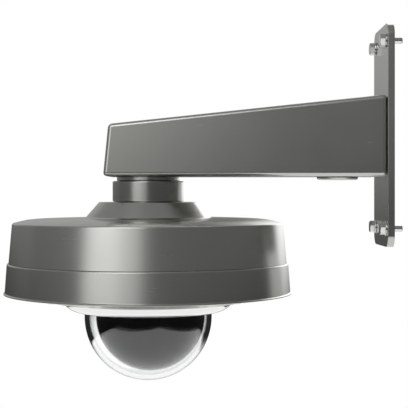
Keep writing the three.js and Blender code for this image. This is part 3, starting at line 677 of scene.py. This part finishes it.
# ---------------------------------------------------------------- pendant joint
def pendant_nipple():
    bottom, top = span("pendant_nipple", 2)
    outline = rounded([
        (NIPPLE_BORE, bottom, 0.4),
        (NIPPLE_RADIUS, bottom, 0.6),
        (NIPPLE_RADIUS, BOSS_BOTTOM, 0),
        (BOSS_RADIUS, BOSS_BOTTOM, 0.5),
        (BOSS_RADIUS, BOSS_TOP, 0.3),
        (NIPPLE_RADIUS, BOSS_TOP, 0),
        (NIPPLE_RADIUS, top, 0.6),
        (NIPPLE_BORE, top, 0.4),
    ], 15)
    return dress(revolve("pendant_nipple_fine", outline, PENDANT), "pendant_nipple", "drum_steel")


SET_SCREW_PLACE = PENDANT @ Matrix.Translation((0, 0, middle("collar_set_screw").z)) @ ALONG_Y


def pendant_collar():
    low, high = span("pendant_collar", 2)
    bore = NIPPLE_RADIUS + GAP
    outline = rounded([
        (bore, low, 0.3),
        (COLLAR_RADIUS, low, 1.2),
        (COLLAR_RADIUS, high, 1.2),
        (bore, high, 0.3),
    ], 15)
    body = revolve("pendant_collar_fine", outline, PENDANT)
    hole = cylinder("hole", 2.3, 20, 40, SET_SCREW_PLACE, 32)
    return dress(boolean(body, [hole]), "pendant_collar", "drum_steel")


def collar_set_screw():
    low, high = (Vector(v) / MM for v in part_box("collar_set_screw"))
    inner, outer = low.y, high.y
    outline = rounded([(0, inner, 0), (2, inner, 0.3), (2, outer, 0.3), (0, outer, 0)], 30)
    screw = revolve("collar_set_screw_fine", outline, SET_SCREW_PLACE, 32)
    socket = hexagon_prism("socket", 1.2, outer - 2.4, outer + 1, SET_SCREW_PLACE)
    return dress(boolean(screw, [socket]), "collar_set_screw")


# ---------------------------------------------------------------- housing
SCREW_CENTRES = [middle(f"cover_screw_{i}") for i in range(1, 5)]
SCREW_PLACES = [Matrix.Translation((centre.x, centre.y, 0)) for centre in SCREW_CENTRES]


def upper_housing():
    """Cone, crowned top and wall in one shell, with four screw bosses inside."""
    bore = NIPPLE_RADIUS + GAP
    outline = rounded([
        (DRUM_RADIUS, DRUM_BOTTOM, 0.15),
        (120.95, CROWN - 4.55, 1.6),
        (108.5, CROWN - 1.1, 60),
        (88, CROWN - 0.35, 120),
        (CONE_FOOT_RADIUS, CROWN, 4),
        (CONE_TOP_RADIUS, CONE_TOP, 1.6),
        (bore, CONE_TOP, 0.4),
        (bore, CONE_TOP - 4, 0.3),
        (CONE_TOP_RADIUS - 3.4, CONE_TOP - 4, 1),
        (CONE_FOOT_RADIUS - 4.1, CROWN - 3.2, 2),
        (100, CROWN - 3.9, 20),
        (118.1, CROWN - 7.8, 2),
        (DRUM_RADIUS - 3, DRUM_BOTTOM, 0.4),
    ])
    shell = revolve("upper_housing_fine", outline, PENDANT, 224)
    boss = (5, SCREW_BOSS_BOTTOM, -78)
    hole = (SCREW_RADIUS + GAP, SCREW_BOSS_BOTTOM - 1, SCREW_BOSS_BOTTOM + 16)
    bosses = [cylinder("boss", *boss, place, 32) for place in SCREW_PLACES]
    holes = [cylinder("hole", *hole, place, 24) for place in SCREW_PLACES]
    shell = boolean(boolean(shell, bosses, "UNION"), holes)
    return dress(shell, "upper_housing", "drum_steel")


def lower_cover():
    """Lower shell with a thin bead at its lip and a sloping underside that holds the dome."""
    outline = rounded([
        (LIP_RADIUS - 3.3, LIP + 1.1, 0.3),
        (LIP_RADIUS - 1.5, LIP, 0.5),
        (LIP_RADIUS, LIP, 0.4),
        (LIP_RADIUS, LIP + 0.8, 0.35),
        (LIP_RADIUS - 1.1, LIP + 1.7, 0.6),
        (DRUM_RADIUS + 1.5, DRUM_BOTTOM - 0.05, 1.4),
        (DRUM_RADIUS + 0.05, DRUM_BOTTOM - 0.05, 0.05),
        (DRUM_RADIUS + 0.05, SEAT, 0),
        (DRUM_RADIUS - 3.5, SEAT, 0.2),
        (DRUM_RADIUS - 3.5, SEAT - 3, 0.4),
        (DRUM_RADIUS - 1.1, SEAT - 5, 0.6),
        (DRUM_RADIUS + 0.2, LIP + 5, 1.5),
        (84, COVER_BOTTOM + 5.2, 4),
        (COVER_INNER_RADIUS, COVER_BOTTOM + 5.2, 0.4),
        (COVER_INNER_RADIUS, COVER_BOTTOM + 3, 0.3),
        (COVER_INNER_RADIUS + 10, COVER_BOTTOM + 3, 0),
        (COVER_INNER_RADIUS + 10, COVER_BOTTOM, 0.4),
        (86, COVER_BOTTOM, 8),
        (121, LIP + 0.5, 2.5),
    ])
    cover = revolve("lower_cover_fine", outline, PENDANT, 224)
    below = COVER_BOTTOM - 2.7
    cuts = []
    for place in SCREW_PLACES:
        cuts.append(cylinder("hole", SCREW_RADIUS + GAP, below, below + 20, place, 24))
        cuts.append(cylinder("recess", SCREW_HEAD_RADIUS + 0.8, below, SCREW_SEAT, place, 40))
    return dress(boolean(cover, cuts), "lower_cover", "drum_steel")


def cover_screw(i, place):
    """Domed socket-head screw under the lower cover."""
    name = f"cover_screw_{i}"
    face, tip = span(name, 2)
    outline = rounded([
        (0, face, 0),
        (SCREW_HEAD_RADIUS, face, 0.9),
        (SCREW_HEAD_RADIUS, face + 2.4, 0.2),
        (SCREW_RADIUS, face + 2.4, 0),
        (SCREW_RADIUS, tip, 0.4),
        (0, tip, 0),
    ], 15)
    body = revolve(f"{name}_fine", outline, place, 40)
    socket = hexagon_prism("socket", 1.9, face - 1, face + 1.5, place)
    return dress(boolean(body, [socket]), name)


def seal(name, inner):
    low, high = span(name, 2)
    outer = (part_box(name)[1][0] - DOME_CENTRE.x) / MM
    edge = 0.4
    corners = [(inner, low, edge), (outer, low, edge), (outer, high, edge), (inner, high, edge)]
    outline = rounded(corners, 20)
    return dress(revolve(f"{name}_fine", outline, PENDANT, 192), name)


# ---------------------------------------------------------------- dome
def dome_ring():
    """Polished ring that clamps the dome, its outside curving in to the dome."""
    bottom, top = span("dome_ring", 2)
    seat = COVER_BOTTOM - GAP
    bore = DOME_RADIUS + 0.4
    steps = 24
    sweep = []
    for k in range(steps + 1):
        along = k / steps
        rise = (1 - (1 - along ** 2) ** 0.56) * (seat - 0.2 - bottom)
        sweep.append((bore + (RING_RADIUS - bore) * along, bottom + rise))
    spigot = COVER_INNER_RADIUS + 10 - GAP
    hollow = DOME_FLANGE_RADIUS + GAP
    ledge = DOME_FLANGE[0] - GAP
    shoulder = [(RING_RADIUS, seat), (spigot, seat)]
    inside = [(spigot, top), (hollow, top), (hollow, ledge), (bore, ledge)]
    return dress(revolve("dome_ring_fine", [*sweep, *shoulder, *inside], PENDANT, 224), "dome_ring")


def dome_bubble():
    centre = DOME_CENTRE.z / MM
    inner = DOME_RADIUS - DOME_WALL
    low, high = DOME_FLANGE
    flange = [(DOME_RADIUS, low), (DOME_FLANGE_RADIUS, low), (DOME_FLANGE_RADIUS, high), (inner, high)]
    outline = [*arc(0, centre, DOME_RADIUS, -90, 0, 40), *flange, *arc(0, centre, inner, 0, -90, 40)]
    return dress(revolve("dome_bubble_fine", outline, PENDANT, 192), "dome_bubble")


# ---------------------------------------------------------------- ball and camera module
def ball_shroud():
    """Black ball that hides the works. Its slot is on the pan axis, and the ball hangs beside it."""
    centre = DOME_CENTRE.z / MM
    inner = BALL_RADIUS - BALL_WALL
    high = span("ball_shroud", 2)[1]
    low = high - 2.2
    rim = [(BALL_RADIUS, low), (58, low), (58, high), (inner, high)]
    outline = [*arc(0, centre, BALL_RADIUS, -90, 0, 36), *rim, *arc(0, centre, inner, 0, -90, 36)]
    place = PENDANT @ Matrix.Translation((BALL_SHIFT * MM, 0, 0))
    ball = revolve("ball_shroud_fine", outline, place, 192)
    half, far, near = SLOT_HALF_WIDTH, 60, -15
    turn = half - 0.1
    slot = rounded([(-half, -far, 0), (half, -far, 0), (half, half, turn), (-half, half, turn)], 6)
    upright = Matrix(((1, 0, 0, 0), (0, 0, 1, 0), (0, 1, 0, 0), (0, 0, 0, 1)))
    rings = [[(x, y, z) for x, y in slot] for z in (near, far)]
    cutter = loft("slot", rings, Matrix.Translation(DOME_CENTRE) @ upright, closed_ends=True)
    return dress(boolean(ball, [cutter]), "ball_shroud")


BARREL_RADIUS = 12.4
BARREL_BORE = 10.9
BARREL_BACK = -19
BARREL_END = 44
LENS_SEAT = 38


def lens_barrel():
    """Tube with a grip groove near its front end and a seat for the front lens."""
    outline = rounded([
        (BARREL_BORE, BARREL_BACK, 0),
        (BARREL_RADIUS, BARREL_BACK, 0.2),
        (BARREL_RADIUS, 27, 0),
        (BARREL_RADIUS, 28, 0),
        (BARREL_RADIUS, 40.5, 0.2),
        (BARREL_RADIUS - 0.4, 41.2, 0.2),
        (BARREL_RADIUS - 0.2, 42, 0.3),
        (BARREL_RADIUS - 0.2, BARREL_END - 0.6, 0.3),
        (BARREL_RADIUS - 0.8, BARREL_END, 0.3),
        (BARREL_BORE, BARREL_END - 0.8, 0.2),
        (BARREL_BORE, LENS_SEAT, 0),
        (BARREL_BORE - 0.8, LENS_SEAT, 0.2),
        (BARREL_BORE - 0.8, LENS_SEAT - 1.2, 0.2),
        (BARREL_BORE, LENS_SEAT - 1.2, 0),
    ], 20)
    return dress(revolve("lens_barrel_fine", outline, OPTIC, 96), "lens_barrel")


def front_lens():
    radius, back = BARREL_BORE - GAP, LENS_SEAT + GAP
    bulge = arc(0, 26.9, 16.1, 52, 90, 12)[:-1]
    outline = [(0, back), (radius, back), (radius, back + 2.1), *bulge, (0, 26.9 + 16.1)]
    return dress(revolve("front_lens_fine", outline, OPTIC, 96), "front_lens")


# ---------------------------------------------------------------- studio
def between(tree, value, low, high, soft):
    """One from low to high, falling smoothly to nought across the soft width at each end."""
    ramps = []
    for edge, side in ((low, 1), (high, -1)):
        values = {"Value": value, "From Min": edge - side * soft / 2, "From Max": edge + side * soft / 2}
        ramp = add_node(tree, "ShaderNodeMapRange", values, interpolation_type="SMOOTHSTEP")
        ramps.append(ramp.outputs["Result"])
    return math_node(tree, "MULTIPLY", *ramps)


# Softboxes round the object: azimuth from the front and elevation in degrees (positive right and up),
# width of the soft edge, and radiance. Azimuth ends at 180 and -180 behind the object. A box that
# reaches past one of them has no soft edge there, and one that lies across both needs two rows.
PANELS = [
    # key light in two steps, front left
    ((-49, -20), (2, 60), 14, 0.62),
    ((-49, -3), (0, 60), 12, 0.82),
    # bright strip high at the front left
    ((-26, -2), (28, 42), 8, 2.4),
    # edge light, back right, and a low strip beside it
    ((140, 174), (-2, 60), 8, 1.7),
    ((116, 142), (-4, 4.5), 5, 0.6),
    # dim walls from the left to the back
    ((-190, -105), (-2, 60), 10, 0.06),
    ((-190, -45), (-2, 90), 14, 0.07),
    ((-190, -140), (4, 60), 10, 0.17),
    # all round, and ceiling
    ((-400, 400), (1, 60), 8, 0.14),
    ((-400, 400), (60, 120), 16, 0.22),
    # low card behind
    ((160, 200), (-24, -15), 4, 1.0),
    ((-200, -160), (-24, -15), 4, 1.0),
]
ROOM_LIGHT = 0.04
BELOW_HORIZON = 0.02


def world():
    """Studio of softboxes in a dim room, which shows the object on a white background."""
    scene_world = bpy.data.worlds.new("studio")
    bpy.context.scene.world = scene_world
    scene_world.use_nodes = True
    tree = scene_world.node_tree
    background = tree.nodes["Background"]
    direction = add_node(tree, "ShaderNodeTexCoord").outputs["Generated"]
    x, y, z = add_node(tree, "ShaderNodeSeparateXYZ", {0: direction}).outputs
    turn = math_node(tree, "ARCTAN2", x, math_node(tree, "MULTIPLY", y, -1.0))
    azimuth = math_node(tree, "DEGREES", turn)
    elevation = math_node(tree, "DEGREES", math_node(tree, "ARCSINE", z))
    light = spread(tree, elevation, -3.0, 0.0, BELOW_HORIZON, ROOM_LIGHT)
    for (left, right), (low, high), soft, radiance in PANELS:
        across = between(tree, azimuth, left, right, soft)
        up = between(tree, elevation, low, high, soft)
        panel = math_node(tree, "MULTIPLY", across, up)
        light = math_node(tree, "ADD", light, math_node(tree, "MULTIPLY", panel, radiance))
    # Rays that go straight through both walls of the clear dome, four surfaces in all, see the same
    # white background as the camera does.
    path = add_node(tree, "ShaderNodeLightPath")
    through = math_node(tree, "GREATER_THAN", path.outputs["Transmission Depth"], 3.5)
    bounces = math_node(tree, "ADD", path.outputs["Glossy Depth"], path.outputs["Diffuse Depth"])
    straight = math_node(tree, "MULTIPLY", through, math_node(tree, "LESS_THAN", bounces, 0.5))
    seen = math_node(tree, "MAXIMUM", path.outputs["Is Camera Ray"], straight)
    strength = add_node(tree, "ShaderNodeMix", {0: seen, 2: light, 3: 1.0})
    tree.links.new(strength.outputs[0], background.inputs["Strength"])
    background.inputs["Color"].default_value = (1, 1, 1, 1)


FLOOR_HEIGHT = -1.16
FLOOR_HALF_SIDE = 2.5
FLOOR_TURN = math.radians(-21)


def floor():
    """Pale square floor below the object, which glows evenly."""
    place = Matrix.Translation((DOME_CENTRE.x, 0, FLOOR_HEIGHT)) @ Matrix.Rotation(FLOOR_TURN, 4, "Z")
    bm = bmesh.new()
    signs = ((-1, -1), (1, -1), (1, 1), (-1, 1))
    corners = [place @ (Vector((x, y, 0)) * FLOOR_HALF_SIDE) for x, y in signs]
    bm.faces.new([bm.verts.new(corner) for corner in corners])
    obj = object_from("floor", bm)
    material, _, shader = new_material("floor")
    shader.inputs["Base Color"].default_value = (0.02, 0.02, 0.02, 1)
    shader.inputs["Emission Color"].default_value = (1, 1, 1, 1)
    shader.inputs["Emission Strength"].default_value = 0.95
    shader.inputs["Roughness"].default_value = 0.9
    obj.data.materials.append(material)


def camera():
    """Camera level with the pendant joint, about a metre in front of the arm."""
    data = bpy.data.cameras.new("camera")
    data.lens = 99.6
    data.sensor_width = 36
    data.shift_x = 0.0007
    data.shift_y = -0.0267
    obj = new_object("camera", data)
    obj.location = (-0.1652, -1.015, -0.0511)
    obj.rotation_euler = (math.pi / 2, 0, 0)
    bpy.context.scene.camera = obj


camera()
world()
floor()
bpy.context.scene.view_settings.view_transform = "Standard"

wall_plate()
for number, corner in enumerate(WALL_CORNERS, 1):
    wall_bolt(number, *corner)
    wall_washer(number, *corner)
arm_shell()
conduit_boss()
conduit_plug()
pendant_nipple()
pendant_collar()
collar_set_screw()
upper_housing()
lower_cover()
for number, screw_place in enumerate(SCREW_PLACES, 1):
    cover_screw(number, screw_place)
seal("housing_gasket", DRUM_RADIUS - 3.4)
seal("dome_gasket", COVER_INNER_RADIUS + GAP)
dome_ring()
dome_bubble()
ball_shroud()
lens_barrel()
front_lens()

for node, obj in frame["nodes"].items():
    for slot in obj.material_slots:
        slot.material = MATERIALS[SLOT_OF[node]]
